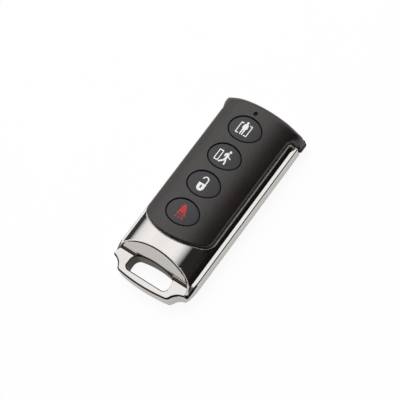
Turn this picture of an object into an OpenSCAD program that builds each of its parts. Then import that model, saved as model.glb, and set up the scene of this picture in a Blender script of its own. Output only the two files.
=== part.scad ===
// Four-key alarm fob: domed soft-touch cover, plated frame with a key-ring loop, back cover and works.
// The back lies on z = 0, the long axis runs along y with the loop at -y, and x = 0 is the centre line.

/* [Body] */
// Length from the arched top end to the loop bar
body_l = 71; // [69:0.5:76]
// Width across the plated side walls
body_w = 31.8; // [31.4:0.2:34]
// Height from the back to the crown of the cover
body_h = 13.1; // [12.9:0.1:14.2]
// Height of the plated side wall
rail_h = 4.2; // [3.9:0.1:4.8]
// Depth that the back cover stands below the side wall
foot_h = 1; // [0.7:0.1:1.1]

/* [Top cover] */
// Width of the cover between the rails
cover_w = 26.6; // [26.2:0.1:26.8]
// Wall thickness of the cover
cover_wall = 1.4; // [1.2:0.1:1.6]
// Radius of the crown across the width
crown_r = 23.9; // [23:0.1:25]
// Length of the end cap that spans the full width
cap_l = 4; // [3.5:0.1:5]
// Radius of the arched top end in plan
end_arc_r = 300; // [200:10:400]
// Radius of the arched lower edge in plan
low_arc_r = 23.2; // [21:0.2:28]
// Distance from the top end to the lowest point of the cover
cover_l = 53.4; // [53:0.1:54]
// Radius of the cover's lower corners in plan
cover_corner_r = 1.5; // [0.8:0.1:2]
// Radius of the end cap's outer corners in plan
end_corner_r = 0.7; // [0.5:0.1:1.2]
// Radius of the inside corner where the end cap meets a rail
cap_fillet_r = 2.4; // [1.5:0.1:2.5]
// Radius of the shoulder between the crown and the end cap's side
shoulder_r = 5; // [4:0.5:6]
// Height of the back cover's wall under the end cap
seam_h = 1.6; // [1.2:0.1:1.8]
// Radius of the rolled edge round the top end
end_roll_r = 1.6; // [0.8:0.1:2]
// Gap between the cover and the plated frame
cover_gap = 0.15; // [0.1:0.05:0.25]

/* [Plated frame] */
// Width of the flat ledge along each side
ledge_w = 1.55; // [1.2:0.05:1.6]
// Width of the steep flank above the ledge
flank_w = 0.75; // [0.75:0.05:0.85]
// Height of the steep flank above the ledge
flank_h = 1.9; // [1.8:0.1:1.9]
// Rise of the domed deck above the flank
deck_rise = 4.3; // [4.1:0.1:4.5]
// Thickness of the deck
deck_wall = 1.4; // [1.2:0.1:1.6]
// Thickness of the side wall
rail_wall = 1.4; // [1.2:0.1:1.6]
// Thickness of the flange that carries the flank
flange_t = 1.2; // [1:0.1:1.5]

/* [Key-ring loop] */
// Width of the slot
slot_w = 17.2; // [15:0.2:18]
// Height of the slot at its middle
slot_l = 6.1; // [5.6:0.1:6.5]
// Radius of the arched upper edge of the slot
slot_arc_r = 26; // [20:1:40]
// Corner radius of the slot
slot_corner_r = 2; // [1.5:0.1:2.4]
// Width of the bar between slot and end
bar_w = 2.6; // [2.4:0.1:3]
// Radius of the bar's outer edge in plan
bar_arc_r = 67; // [50:1:90]
// Radius of the hollow at each end of the bar
notch_r = 4.7; // [4:0.1:5]
// Distance from the centre line to the middle of each hollow
notch_x = 15.2; // [15:0.1:16]
// Distance that the middle of each hollow lies past the end
notch_drop = 0.3; // [0:0.1:0.6]
// Rounding of the loop's outline
tip_r = 0.9; // [0.5:0.1:1]
// Slope of the facet between deck and loop, in degrees
facet_angle = 56.4; // [52:0.4:60]
// Distance from the end to the foot of the facet
facet_foot = 8.35; // [8.2:0.05:8.8]
// Height of the step below the facet
step_h = 0.8; // [0.6:0.1:1]
// Run of the sloped face of that step
step_run = 0.85; // [0.6:0.05:1]
// Width of the scoop that the facet and step lie in
scoop_w = 29.6; // [29:0.1:30]
// Radius of the scoop's shoulders in plan
scoop_corner_r = 6.2; // [5.6:0.1:6.6]
// Distance from the end to the top of those shoulders
scoop_l = 10.7; // [10.4:0.1:11]
// Distance from the end to where the sides start to draw in
taper_l = 11; // [10:0.5:12]
// Radius of the drawn-in sides in plan
taper_r = 23; // [20:1:30]
// Distance from the end to where the ledges start to fall
ramp_l = 9.3; // [8.8:0.1:9.8]
// Slope of the falling ledges, in degrees
ramp_angle = 17; // [12:1:20]

/* [Keys] */
// Distance between neighbouring keys
key_pitch = 11.5; // [11.2:0.1:11.8]
// Distance from the top end to the first key
key_first = 10.1; // [9.9:0.1:10.4]
// Width of a key window
key_w = 12.6; // [12:0.1:13]
// Length of a key window
key_l = 9.2; // [8.8:0.1:9.4]
// Gap round a key in its window
key_gap = 0.22; // [0.2:0.02:0.3]
// Depth of a key's face below the cover
key_recess = 0.2; // [0.1:0.05:0.4]
// Travel of a key when it is pressed
key_travel = 0.35; // [0.25:0.05:0.4]
// Width of the hidden flange round a key
key_flange = 0.7; // [0.5:0.05:0.75]
// Thickness of that flange
key_flange_t = 0.6; // [0.5:0.05:0.7]
// Diameter of the stem below a key
stem_d = 3; // [2.6:0.1:3.2]

/* [Electronics] */
// Diameter of the coin cell
cell_d = 20; // [19:0.5:20]
// Thickness of the coin cell
cell_t = 3.2; // [3:0.1:3.3]
// Thickness of the circuit board
board_t = 1; // [0.8:0.1:1.1]
// Gap between the board and the cover's wall
board_gap = 0.25; // [0.2:0.05:0.4]
// Width of a key switch
switch_w = 6; // [5:0.1:6.2]
// Height of a key switch
switch_h = 2; // [1.8:0.1:2.2]
// Diameter of a switch plunger
plunger_d = 3; // [2.6:0.1:3.2]
// Height that a plunger stands above its switch
plunger_h = 0.6; // [0.5:0.05:0.7]
// Thickness of the silicone mat round the plungers
mat_t = 0.7; // [0.5:0.05:0.8]
// Width of the silicone mat
mat_w = 17; // [15:0.5:18]
// Diameter of the status light's hole
light_d = 1.4; // [1.2:0.1:1.8]
// Distance from the top end to the status light
light_from_end = 3.8; // [3.6:0.1:4.2]

/* [Back cover] */
// Thickness of the back cover's floor
floor_t = 1.2; // [1.1:0.05:1.3]
// Inset of the back cover from the side wall
back_inset = 0.9; // [0.6:0.1:1.2]
// Rounding of the back cover's outline
back_corner_r = 3; // [2:0.1:4]
// Height of the rim that locates the back cover
rim_h = 2.2; // [2:0.1:2.4]
// Thickness of that rim
rim_t = 1; // [0.8:0.1:1.2]
// Diameter of a case screw
screw_d = 1.8; // [1.6:0.1:2]
// Diameter of a case screw's head
screw_head_d = 3.4; // [3:0.1:3.6]

/* [Hidden] */

$fa = 3;
$fs = 0.25;
arch_fa = 0.5;
eps = 0.01;
far = 100;

// Heights, from the back up
half_w = body_w / 2;
y_top = body_l / 2;
y_end = -body_l / 2;
z_ledge = foot_h + rail_h;
z_crown = body_h;
x_ledge = half_w - ledge_w;
x_flank = x_ledge - flank_w;
z_flank = z_ledge + flank_h;

// Crown of the cover: one arc, with a smaller arc tangent to it and to each side of the end cap
crown_c = z_crown - crown_r;
shoulder_x = half_w - shoulder_r;
shoulder_reach = crown_r - shoulder_r;
shoulder_z = crown_c + sqrt(shoulder_reach * shoulder_reach - shoulder_x * shoulder_x);
shoulder_meet = shoulder_x * crown_r / shoulder_reach;

// Deck of the frame: an arc from flank to flank
deck_r = (x_flank * x_flank + deck_rise * deck_rise) / (2 * deck_rise);
deck_c = z_flank + deck_rise - deck_r;

// Cover in plan, and the seam between its end cap and the back cover
y_cap = y_top - cap_l;
z_seam = foot_h + seam_h;
seam_gap = 0.1;
y_cover_low = y_top - cover_l;
rail_end_gap = 0.2;

// Loop
y_facet = y_end + facet_foot;
z_facet = z_ledge + step_h;
y_crest = y_facet + (z_flank + deck_rise - z_facet) / tan(facet_angle);
y_slot_low = y_end + bar_w;
y_slot_high = y_slot_low + slot_l;
x_scoop = scoop_w / 2;
shoulder_lap = 1.2;
y_taper = y_end + taper_l;
y_ramp = y_end + ramp_l;
loop_gap = 0.2;

// Hollow under the deck
hollow_end_wall = 1;
y_hollow = y_crest + hollow_end_wall;
x_hollow = half_w - max(rail_wall, cover_wall);
z_flange = z_ledge - flange_t;

// Battery and its strap
strap_t = 0.3;
strap_w = 5;
strap_gap = 0.1;
strap_x = (cell_d / 2 + cover_w / 2 - cover_wall) / 2;
contact_t = 0.2;
z_strap = floor_t + strap_gap;
z_cell = z_strap + strap_t;

// Keys
key_names = ["stay", "away", "unlock", "panic"];
key_y = [for (i = [0 : len(key_names) - 1]) y_top - key_first - i * key_pitch];
roof_r = crown_r - cover_wall;
flange_x = key_w / 2 + key_flange;
flange_clear = 0.2;
z_flange_top = crown_c + sqrt(roof_r * roof_r - flange_x * flange_x) - flange_clear;
z_flange_low = z_flange_top - key_flange_t;

// Board hung below the keys, so that each flange has its travel above the mat
under_key_gap = 0.12;
z_switch = z_flange_low - key_travel - under_key_gap - mat_t;
z_board_top = z_switch - switch_h;
z_board = z_board_top - board_t;
z_plunger = z_switch + plunger_h;

// Plungers slide in the switches
plunger_gap = 0.15;
plunger_sink = 0.7;
plunger_spare = 0.15;
plunger_room = key_travel + plunger_spare;

// Coin cell under the middle of the board
cell_y = (key_y[1] + key_y[3]) / 2;

// Screws, bosses and the gap round the back cover's rim
rim_gap = 0.15;
boss_wall = 1.1;
boss_d = screw_d + 2 * boss_wall;
screw_clear = 0.05;
pass_clear = 0.1;
head_t = 1.1;
head_sink = 0.3;
head_clear = 0.25;
well_floor = 1;
well_rim = 0.6;
well_d = screw_head_d + 2 * head_clear;
z_well = head_sink + head_t;
z_well_top = z_well + well_floor;
boss_gap = 0.1;
z_boss = max(z_well_top, foot_h + rim_h) + boss_gap;
screw_l = 5.2;
boss_bite = 0.5;
top_screw_drop = 2.9;
top_screw_x = cover_w / 2 - cover_wall - boss_d / 2 + boss_bite;
top_screw_y = y_cap - top_screw_drop;
low_screw_y = y_hollow + rim_gap + well_d / 2 + well_rim;
screw_spots = [[-top_screw_x, top_screw_y], [top_screw_x, top_screw_y], [0, low_screw_y]];

// Posts that carry the board
post_d = 2.4;
pin_d = 1.2;
pin_gap = 0.15;
pin_proud = 0.4;
post_out = 3.6;
loop_t = 0.1;
loop_w = 0.9;
loop_inset = 0.6;
loop_clear = 0.45;
post_inset = cover_wall + board_gap + loop_inset + loop_w + loop_clear + pin_d / 2;
post_x = cover_w / 2 - post_inset;
post_arc_r = low_arc_r - post_inset;
post_high_y = cell_y + cell_d / 2 + post_out;
post_low_y = y_cover_low + low_arc_r - sqrt(post_arc_r * post_arc_r - post_x * post_x);
post_spots = [for (sx = [-1, 1], y = [post_low_y, post_high_y]) [sx * post_x, y]];

// Status light
y_light = y_top - light_from_end;
pipe_gap = 0.08;
pipe_recess = 0.35;
pipe_collar = 0.6;
pipe_collar_t = 0.6;
led_w = 1.6;
led_l = 0.9;
led_h = 0.6;
led_gap = 0.3;

// Back cover
rim_corner_r = 1;
y_back_low = y_hollow;

// Small parts on the underside of the board
chip_w = 5;
chip_h = 0.9;
chip_shift = 1;
chip_y = (cell_y + cell_d / 2 + top_screw_y) / 2 + chip_shift;
can_w = 2.5;
can_l = 3.2;
can_h = 0.8;
can_x = chip_w / 2 + can_w;
part_w = 1;
part_l = 0.6;
part_h = 0.4;
part_pitch = 1.6;
part_count = 5;

// A profile drawn in x and z, run along y
module along_y(from, to) {
    translate([0, to, 0])
        rotate([90, 0, 0])
            linear_extrude(to - from)
                children();
}

// A profile drawn in y and z, run across x
module along_x(width) {
    translate([-width / 2, 0, 0])
        rotate([90, 0, 90])
            linear_extrude(width)
                children();
}

module round_outer(r) {
    offset(r = r)
        offset(delta = -r)
            children();
}

module round_inner(r) {
    offset(r = -r)
        offset(delta = r)
            children();
}

module ellipse(w, l) {
    scale([w / l, 1])
        circle(d = l);
}

// Crown of the cover across its width, set in by a wall where asked
module crown_profile(inset) {
    meet = shoulder_meet - inset * shoulder_x / shoulder_reach;
    intersection() {
        translate([0, crown_c])
            circle(crown_r - inset);
        union() {
            translate([-half_w + inset, 0])
                square([body_w - 2 * inset, shoulder_z]);
            translate([-meet, 0])
                square([2 * meet, z_crown]);
            for (sx = [-1, 1])
                translate([sx * shoulder_x, shoulder_z])
                    circle(shoulder_r - inset);
        }
    }
}

// Arched top end in plan
module end_arch(inset) {
    translate([0, y_top - end_arc_r])
        circle(end_arc_r - inset, $fa = arch_fa);
}

// Part of the cover between the rails, with its arched lower edge
module cover_strip() {
    round_outer(cover_corner_r)
        intersection() {
            translate([-cover_w / 2, y_cover_low])
                square([cover_w, cover_l]);
            union() {
                translate([0, y_cover_low + low_arc_r])
                    circle(low_arc_r);
                translate([-cover_w / 2, y_cover_low + low_arc_r])
                    square([cover_w, cover_l]);
            }
        }
}

// Full-width cap at the top end
module cover_cap() {
    intersection() {
        round_outer(end_corner_r)
            intersection() {
                translate([-half_w, y_cover_low])
                    square([body_w, cover_l]);
                end_arch(0);
            }
        translate([-half_w, y_cap])
            square([body_w, cap_l]);
    }
}

// Outline of the cover in plan: strip and cap, with a rounded inside corner at each rail
module cover_plan() {
    round_inner(cap_fillet_r) {
        intersection() {
            cover_strip();
            end_arch(0);
        }
        cover_cap();
    }
}

// Rolled edge of the top end, turned about the crown's own axis so that it is even all the way round
module end_roll() {
    corner = [crown_r - end_roll_r, y_top - end_roll_r];
    translate([0, 0, crown_c])
        rotate([-90, 0, 0])
            rotate_extrude()
                difference() {
                    translate(corner)
                        square(2 * end_roll_r);
                    translate(corner)
                        circle(end_roll_r);
                }
}

// Strip of the cover ends level with the flange of the frame; the end cap runs down to the seam
module cover_reach() {
    translate([-far / 2, -far, z_flange])
        cube([far, 2 * far, far]);
    translate([-far / 2, y_cap, z_seam + seam_gap])
        cube([far, far, far]);
}

module cover_shell() {
    difference() {
        intersection() {
            along_y(y_cover_low - eps, y_top)
                crown_profile(0);
            linear_extrude(far)
                cover_plan();
            cover_reach();
        }
        end_roll();
        intersection() {
            along_y(y_cover_low - eps, y_top)
                crown_profile(cover_wall);
            translate([0, 0, -far / 2])
                linear_extrude(far)
                    offset(delta = -cover_wall)
                        cover_plan();
        }
        translate([0, 0, foot_h - eps])
            linear_extrude(rim_h + rim_gap + eps)
                offset(delta = rim_gap)
                    rim_plan();
    }
}

// Two screw bosses hang from the roof, tied to the side walls
module cover_bosses() {
    intersection() {
        for (i = [0, 1])
            translate([screw_spots[i][0], screw_spots[i][1], z_boss])
                cylinder(d = boss_d, h = z_crown);
        along_y(y_cover_low, y_top)
            crown_profile(cover_wall / 2);
        translate([-cover_w / 2 + eps, y_cover_low, 0])
            cube([cover_w - 2 * eps, cover_l, far]);
    }
}

module screw_pilots() {
    for (p = screw_spots)
        translate([p[0], p[1], z_well_top - eps])
            cylinder(d = screw_d + 2 * screw_clear, h = screw_l + head_sink);
}

module top_cover() {
    color("#3a3836")
        difference() {
            union() {
                cover_shell();
                cover_bosses();
            }
            screw_pilots();
            for (y = key_y)
                translate([0, y, z_flange_low])
                    linear_extrude(z_crown)
                        ellipse(key_w, key_l);
            translate([0, y_light, z_board_top])
                cylinder(d = light_d, h = z_crown);
        }
}

// Loop end in plan, where both sides draw in
module taper_plan() {
    intersection() {
        translate([half_w - taper_r, y_taper])
            circle(taper_r);
        translate([taper_r - half_w, y_taper])
            circle(taper_r);
    }
}

// Outline of the frame in plan, with the hollowed corners of the loop
module frame_plan() {
    round_outer(tip_r)
        difference() {
            intersection() {
                translate([-half_w, y_end])
                    square([body_w, y_cap - rail_end_gap - y_end]);
                translate([0, y_end + bar_arc_r])
                    circle(bar_arc_r);
                union() {
                    translate([-half_w, y_taper])
                        square([body_w, body_l]);
                    taper_plan();
                }
            }
            for (sx = [-1, 1])
                translate([sx * notch_x, y_end - notch_drop])
                    circle(notch_r);
        }
}

// Frame across its width: side walls, flanks and the deck's arc
module frame_profile() {
    z_low = z_ledge - ledge_w * flank_h / flank_w;
    polygon([[-half_w, foot_h], [half_w, foot_h], [half_w, z_low],
        [x_flank, z_flank], [-x_flank, z_flank], [-half_w, z_low]]);
    intersection() {
        translate([0, deck_c])
            circle(deck_r);
        translate([-x_flank, z_flank - eps])
            square([2 * x_flank, deck_rise + 2 * eps]);
    }
}

// Ledges seen from the side: level along the body, falling towards the loop
module ledge_profile() {
    polygon([[y_cap, foot_h], [y_cap, z_ledge], [y_ramp, z_ledge],
        [y_ramp - rail_h / tan(ramp_angle), foot_h]]);
}

// Room below the flange and the deck
module frame_hollow() {
    translate([-x_hollow, y_hollow, foot_h - eps])
        cube([2 * x_hollow, body_l, z_flange - foot_h + eps]);
    deck_low = deck_wall + (z_flank - z_flange);
    along_y(y_hollow, y_cover_low + low_arc_r)
        intersection() {
            translate([0, deck_c])
                circle(deck_r - deck_wall);
            translate([-x_flank + deck_wall, z_flange - eps])
                square([2 * (x_flank - deck_wall), deck_rise + deck_low]);
        }
}

// Facet and step cut into the end of the deck, seen from the side
module scoop_profile() {
    rise = far * tan(facet_angle);
    polygon([[y_end - far, z_ledge], [y_facet - step_run, z_ledge], [y_facet, z_facet],
        [y_facet + far, z_facet + rise], [y_end - far, z_facet + rise]]);
}

// Scoop in plan: rounded shoulders, open towards the deck
module scoop_plan() {
    x_inner = x_scoop - scoop_corner_r + shoulder_lap;
    round_outer(scoop_corner_r)
        translate([-x_scoop, y_end - far])
            square([scoop_w, scoop_l + far]);
    translate([-x_inner, y_end])
        square([2 * x_inner, far]);
}

// Foot of the loop, level with the back
module loop_foot() {
    linear_extrude(foot_h + eps)
        intersection() {
            frame_plan();
            translate([-half_w + back_inset, y_end])
                square([body_w - 2 * back_inset, y_back_low - hollow_end_wall - loop_gap - y_end]);
        }
}

module slot_plan() {
    round_outer(slot_corner_r)
        intersection() {
            translate([-slot_w / 2, y_slot_low])
                square([slot_w, slot_l]);
            translate([0, y_slot_high - slot_arc_r])
                circle(slot_arc_r);
        }
}

// Boss for the screw under the deck
module frame_boss() {
    intersection() {
        translate([0, low_screw_y, z_boss])
            cylinder(d = boss_d, h = z_crown);
        along_y(y_crest, y_cover_low)
            translate([0, deck_c])
                circle(deck_r - deck_wall / 2);
    }
}

module chrome_frame() {
    color("#d9d6d1")
        difference() {
            union() {
                difference() {
                    intersection() {
                        union() {
                            along_y(y_end - eps, y_cap)
                                frame_profile();
                            along_x(body_w)
                                ledge_profile();
                        }
                        linear_extrude(far)
                            frame_plan();
                    }
                    frame_hollow();
                }
                frame_boss();
                loop_foot();
            }
            translate([0, 0, z_flange - eps])
                linear_extrude(far)
                    offset(delta = cover_gap)
                        cover_plan();
            intersection() {
                along_x(body_w)
                    scoop_profile();
                linear_extrude(far)
                    scoop_plan();
            }
            translate([0, 0, -eps])
                linear_extrude(far)
                    slot_plan();
            screw_pilots();
        }
}

// Outline of the room that the back cover's rim fits in
module rim_plan() {
    round_outer(rim_corner_r)
        intersection() {
            translate([-x_hollow + rim_gap, y_back_low + rim_gap])
                square([2 * (x_hollow - rim_gap), body_l]);
            end_arch(cover_wall + rim_gap);
        }
}

// Outline of the plate that shows on the back
module back_plan() {
    round_outer(back_corner_r)
        intersection() {
            translate([-half_w + back_inset, y_back_low - hollow_end_wall])
                square([body_w - 2 * back_inset, y_top - back_inset - y_back_low + hollow_end_wall]);
            end_arch(back_inset);
        }
}

module board_post() {
    translate([0, 0, floor_t - eps])
        cylinder(d = post_d, h = z_board - floor_t + eps);
    translate([0, 0, z_board - eps])
        cylinder(d = pin_d, h = board_t + pin_proud + eps);
}

module bottom_cover() {
    color("#2b2a29")
        difference() {
            union() {
                linear_extrude(foot_h)
                    back_plan();
                linear_extrude(floor_t)
                    rim_plan();
                linear_extrude(foot_h + rim_h)
                    difference() {
                        rim_plan();
                        offset(delta = -rim_t)
                            rim_plan();
                    }
                translate([0, 0, foot_h - eps])
                    linear_extrude(seam_h + eps)
                        difference() {
                            cover_cap();
                            offset(delta = -rim_t)
                                rim_plan();
                        }
                for (p = post_spots)
                    translate([p[0], p[1], 0])
                        board_post();
                intersection() {
                    for (p = screw_spots)
                        translate([p[0], p[1], 0])
                            cylinder(d = well_d + 2 * boss_wall, h = z_well_top);
                    linear_extrude(far)
                        rim_plan();
                }
            }
            for (p = screw_spots) {
                translate([p[0], p[1], -eps])
                    cylinder(d = well_d, h = z_well + eps);
                translate([p[0], p[1], 0])
                    cylinder(d = screw_d + 2 * pass_clear, h = far);
            }
        }
}

// Clear rod that brings the status light up to its hole
module light_pipe() {
    z_low = z_board_top + led_h + led_gap;
    z_roof = z_crown - cover_wall;
    color("#a03030")
        translate([0, y_light, 0]) {
            translate([0, 0, z_low])
                cylinder(d = light_d - 2 * pipe_gap, h = z_crown - pipe_recess - z_low);
            translate([0, 0, z_roof - pipe_gap - pipe_collar_t])
                cylinder(d = light_d + 2 * pipe_collar, h = pipe_collar_t);
        }
}

// One key: an oval cap that follows the crown, a flange under the cover and a stem on its switch
module key(i) {
    cap_w = key_w - 2 * key_gap;
    cap_l = key_l - 2 * key_gap;
    color("#4b4b4e")
        translate([0, key_y[i], 0]) {
            intersection() {
                translate([0, 0, z_flange_low])
                    linear_extrude(z_crown)
                        ellipse(cap_w, cap_l);
                along_y(-key_pitch, key_pitch)
                    translate([0, crown_c])
                        circle(crown_r - key_recess);
            }
            translate([0, 0, z_flange_low])
                linear_extrude(key_flange_t)
                    ellipse(key_w + 2 * key_flange, key_l + 2 * key_flange);
            translate([0, 0, z_plunger])
                cylinder(d = stem_d, h = z_flange_low - z_plunger + eps);
        }
}

module key_stay() { key(0); }
module key_away() { key(1); }
module key_unlock() { key(2); }
module key_panic() { key(3); }

// Silicone sheet that lies on the switches and seals round the stems
module keypad_mat() {
    end_margin = key_l / 2;
    hole_gap = 0.7;
    hole_d = max(plunger_d, stem_d) + 2 * hole_gap;
    color("#6d6d70")
        translate([0, 0, z_switch])
            linear_extrude(mat_t)
                difference() {
                    round_outer(cover_corner_r)
                        translate([-mat_w / 2, key_y[3] - end_margin])
                            square([mat_w, key_y[0] - key_y[3] + 2 * end_margin]);
                    for (y = key_y)
                        translate([0, y])
                            circle(d = hole_d);
                    for (p = screw_spots)
                        translate(p)
                            circle(d = boss_d + 2 * board_gap);
                }
}

module board_plan() {
    difference() {
        intersection() {
            offset(delta = -cover_wall - board_gap)
                cover_plan();
            translate([-cover_w / 2 + cover_wall + board_gap, y_cover_low])
                square([cover_w - 2 * (cover_wall + board_gap), cover_l]);
        }
        for (p = screw_spots)
            translate(p)
                circle(d = boss_d + 2 * board_gap);
        for (p = post_spots)
            translate(p)
                circle(d = pin_d + 2 * pin_gap);
    }
}

module circuit_board() {
    color("#2f6b45")
        translate([0, 0, z_board])
            linear_extrude(board_t)
                board_plan();
}

// Key switch: a square case with a well for its plunger
module switch_case(i) {
    chamfer = 0.4;
    color("#1f1f20")
        translate([0, key_y[i], z_board_top])
            difference() {
                linear_extrude(switch_h)
                    offset(delta = chamfer, chamfer = true)
                        square(switch_w - 2 * chamfer, center = true);
                translate([0, 0, switch_h - plunger_sink - plunger_room])
                    cylinder(d = plunger_d + 2 * plunger_gap, h = switch_h);
            }
}

module switch_stay() { switch_case(0); }
module switch_away() { switch_case(1); }
module switch_unlock() { switch_case(2); }
module switch_panic() { switch_case(3); }

module plunger(i) {
    color("#b9a27c")
        translate([0, key_y[i], z_switch - plunger_sink])
            cylinder(d = plunger_d, h = plunger_sink + plunger_h);
}

module plunger_stay() { plunger(0); }
module plunger_away() { plunger(1); }
module plunger_unlock() { plunger(2); }
module plunger_panic() { plunger(3); }

module status_led() {
    color("#e8e4d8")
        translate([0, y_light, z_board_top + led_h / 2])
            cube([led_w, led_l, led_h], center = true);
}

module radio_chip() {
    color("#222326")
        translate([0, chip_y, z_board - chip_h / 2])
            cube([chip_w, chip_w, chip_h], center = true);
}

// Oscillator can with rounded corners
module crystal_can() {
    can_r = 0.5;
    color("#c4c4c6")
        translate([can_x, chip_y, z_board - can_h])
            linear_extrude(can_h)
                round_outer(can_r)
                    square([can_w, can_l], center = true);
}

// Row of chip resistors and capacitors beside the radio
module chip_parts() {
    row_x = chip_w / 2 + can_w;
    color("#8c7a5e")
        for (i = [0 : part_count - 1])
            translate([-row_x, chip_y + (i - (part_count - 1) / 2) * part_pitch, z_board - part_h / 2])
                cube([part_w, part_l, part_h], center = true);
}

// Copper loop along the lower edge of the board
module antenna_loop() {
    color("#b87333")
        translate([0, 0, z_board_top])
            linear_extrude(loop_t)
                intersection() {
                    difference() {
                        offset(delta = -cover_wall - board_gap - loop_inset)
                            cover_plan();
                        offset(delta = -cover_wall - board_gap - loop_inset - loop_w)
                            cover_plan();
                    }
                    translate([-cover_w / 2, y_cover_low])
                        square([cover_w, key_y[3] + switch_w - y_cover_low]);
                    translate([-cover_w / 2 + cover_wall + board_gap + loop_inset, y_cover_low])
                        square([cover_w - 2 * (cover_wall + board_gap + loop_inset), cover_l]);
                }
}

// Coin cell: a can with a smaller negative button face
module coin_cell() {
    rim = 1.2;
    button_h = 0.3;
    color("#c9cacb")
        translate([0, cell_y, z_cell])
            rotate_extrude()
                polygon([[0, 0], [cell_d / 2 - button_h, 0], [cell_d / 2, button_h],
                    [cell_d / 2, cell_t - button_h], [cell_d / 2 - rim, cell_t - button_h],
                    [cell_d / 2 - rim, cell_t], [0, cell_t]]);
}

// Positive strap: runs under the cell and up to the board, midway between the cell and the cover's wall
module battery_strap() {
    inner = strap_x - strap_t / 2;
    outer = strap_x + strap_t / 2;
    color("#cfc9b8")
        along_y(cell_y - strap_w / 2, cell_y + strap_w / 2)
            difference() {
                translate([-outer, z_strap])
                    square([2 * outer, z_board - z_strap]);
                translate([-inner, z_strap + strap_t])
                    square([2 * inner, z_board]);
            }
}

// Negative contact: a leaf bent down from the board to the cell
module battery_contact() {
    leaf_w = 4;
    leaf_half = 3.4;
    bend = 1.4;
    z_touch = z_cell + cell_t;
    color("#d8cfae")
        along_y(cell_y - leaf_w / 2, cell_y + leaf_w / 2)
            polygon([[-leaf_half, z_board], [-leaf_half, z_board - contact_t],
                [-bend, z_touch], [bend, z_touch],
                [leaf_half, z_board - contact_t], [leaf_half, z_board], [leaf_half - bend, z_board],
                [bend - contact_t, z_touch + contact_t], [contact_t - bend, z_touch + contact_t],
                [bend - leaf_half, z_board]]);
}

// Pan-head screws with a cross recess
module case_screw() {
    recess_w = 0.5;
    recess_share = 0.55;
    recess_l = screw_head_d * recess_share;
    recess_t = 0.6;
    difference() {
        union() {
            translate([0, 0, head_sink])
                cylinder(d = screw_head_d, h = head_t);
            translate([0, 0, head_sink])
                cylinder(d = screw_d, h = head_t + screw_l);
        }
        for (a = [0, 90])
            rotate([0, 0, a])
                translate([-recess_l / 2, -recess_w / 2, head_sink - eps])
                    cube([recess_l, recess_w, recess_t]);
    }
}

module case_screws() {
    color("#9a9a98")
        for (p = screw_spots)
            translate([p[0], p[1], 0])
                case_screw();
}

top_cover();
chrome_frame();
bottom_cover();
light_pipe();
key_stay();
key_away();
key_unlock();
key_panic();
keypad_mat();
circuit_board();
switch_stay();
switch_away();
switch_unlock();
switch_panic();
plunger_stay();
plunger_away();
plunger_unlock();
plunger_panic();
status_led();
radio_chip();
crystal_can();
chip_parts();
antenna_loop();
coin_cell();
battery_strap();
battery_contact();
case_screws();
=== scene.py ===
import math
import bpy
import numpy as np
from mathutils import Euler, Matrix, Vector
from mathutils.geometry import delaunay_2d_cdt


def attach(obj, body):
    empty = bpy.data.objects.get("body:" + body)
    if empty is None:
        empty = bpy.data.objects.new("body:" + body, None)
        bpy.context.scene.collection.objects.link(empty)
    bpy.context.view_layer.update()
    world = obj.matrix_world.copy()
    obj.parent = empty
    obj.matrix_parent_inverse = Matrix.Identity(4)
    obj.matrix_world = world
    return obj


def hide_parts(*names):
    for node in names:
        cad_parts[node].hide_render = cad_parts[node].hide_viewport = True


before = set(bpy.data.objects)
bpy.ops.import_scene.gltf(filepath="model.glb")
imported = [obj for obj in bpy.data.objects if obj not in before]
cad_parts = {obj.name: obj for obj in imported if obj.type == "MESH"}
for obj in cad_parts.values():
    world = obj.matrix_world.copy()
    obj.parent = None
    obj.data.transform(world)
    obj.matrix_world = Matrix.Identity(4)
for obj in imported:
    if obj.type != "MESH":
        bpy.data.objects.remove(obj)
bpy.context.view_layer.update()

mm = 0.001
quarterTurn = 0.5 * np.pi
scene = bpy.context.scene

# everything below is drawn in millimetres, back on z = 0, loop at -y
fob = {"halfWidth": 15.9, "topEnd": 35.5, "loopEnd": -35.5, "foot": 1.0, "ledge": 5.2}


# plan fields are negative inside an outline, in mm from its edge
def roundMax(a, b, r):
    return np.minimum(-r, np.maximum(a, b)) + np.hypot(np.maximum(a + r, 0), np.maximum(b + r, 0))


def roundMin(a, b, r):
    return -roundMax(-a, -b, r)


def smoothMin(a, b, k):
    h = np.clip(0.5 + 0.5 * (b - a) / k, 0, 1)
    return b * (1 - h) + a * h - k * h * (1 - h)


def smoothMax(a, b, k):
    return -smoothMin(-a, -b, k)


def easeStep(value, start, stop):
    t = np.clip((value - start) / (stop - start), 0, 1)
    return t * t * (3 - 2 * t)


def fieldSlope(field, x, y, h=1e-4):
    gx = (field(x + h, y) - field(x - h, y)) / (2 * h)
    gy = (field(x, y + h) - field(x, y - h)) / (2 * h)
    return gx, gy


def settle(field, p, times=5):
    # moves points onto the zero line of a field
    for _ in range(times):
        gx, gy = fieldSlope(field, *p.T)
        push = field(*p.T) / np.maximum(gx * gx + gy * gy, 1e-6)
        p = p - np.stack([gx * push, gy * push], 1)
    return p


def unitRows(v):
    return v / np.linalg.norm(v, axis=1)[:, None]


def outward(field, p):
    return unitRows(np.stack(fieldSlope(field, *p.T), 1))


def runAlong(line):
    return np.concatenate([[0], np.cumsum(np.hypot(*np.diff(line, axis=0).T))])


def pointsAt(line, run, at):
    return np.stack([np.interp(at, run, part) for part in line.T], 1)


def gridOf(xs, ys):
    return np.stack(np.meshgrid(xs, ys), -1).reshape(-1, 2)


def bothSides(x):
    return np.concatenate([-x, x])


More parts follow.
